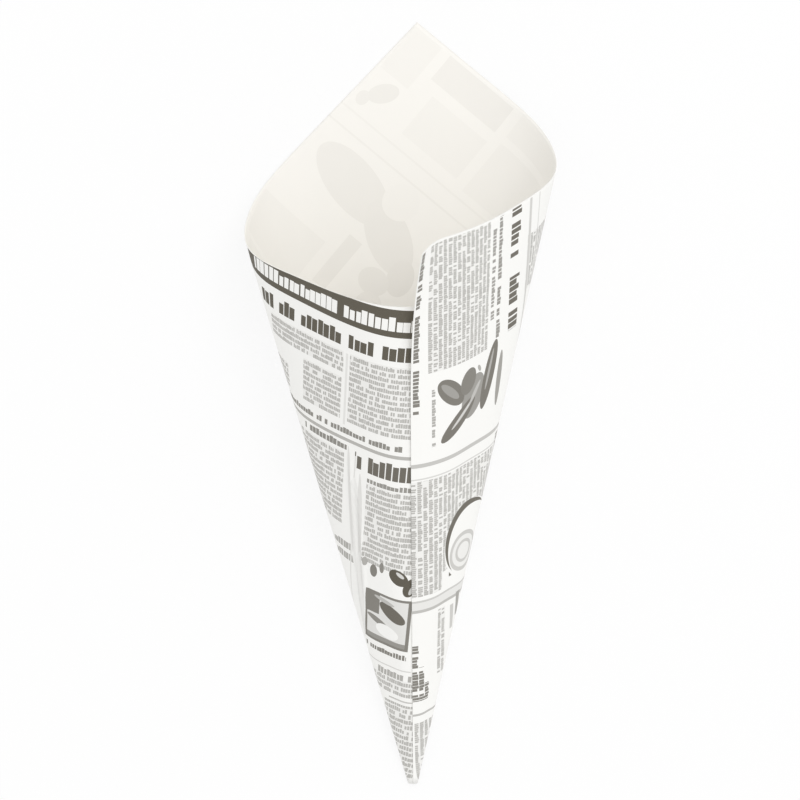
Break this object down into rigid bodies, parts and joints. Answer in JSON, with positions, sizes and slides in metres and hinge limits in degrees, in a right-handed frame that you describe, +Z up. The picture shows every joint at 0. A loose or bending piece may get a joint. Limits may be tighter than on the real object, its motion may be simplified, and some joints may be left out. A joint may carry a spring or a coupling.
{
  "type": "cone paper cup",
  "caption": "Food cone rolled from a sheet of printed paper, with an overlapping front seam, a blunt tip, an open slanted mouth and a pointed back peak.",
  "frame": {"origin": "on the ground, below the middle of the cone as it lies on its flattened back", "axes": "+Y from the blunt tip to the mouth and its peak, +Z up with the seam on top, +X to the right when seen from above with the mouth away from the viewer"},
  "size_m": [0.1164, 0.2818, 0.0916],
  "materials": {
    "paper": "matt, printed outside"
  },
  "bodies": {
    "root": {"paper_cup": "paper"}
  },
  "joints": []
}
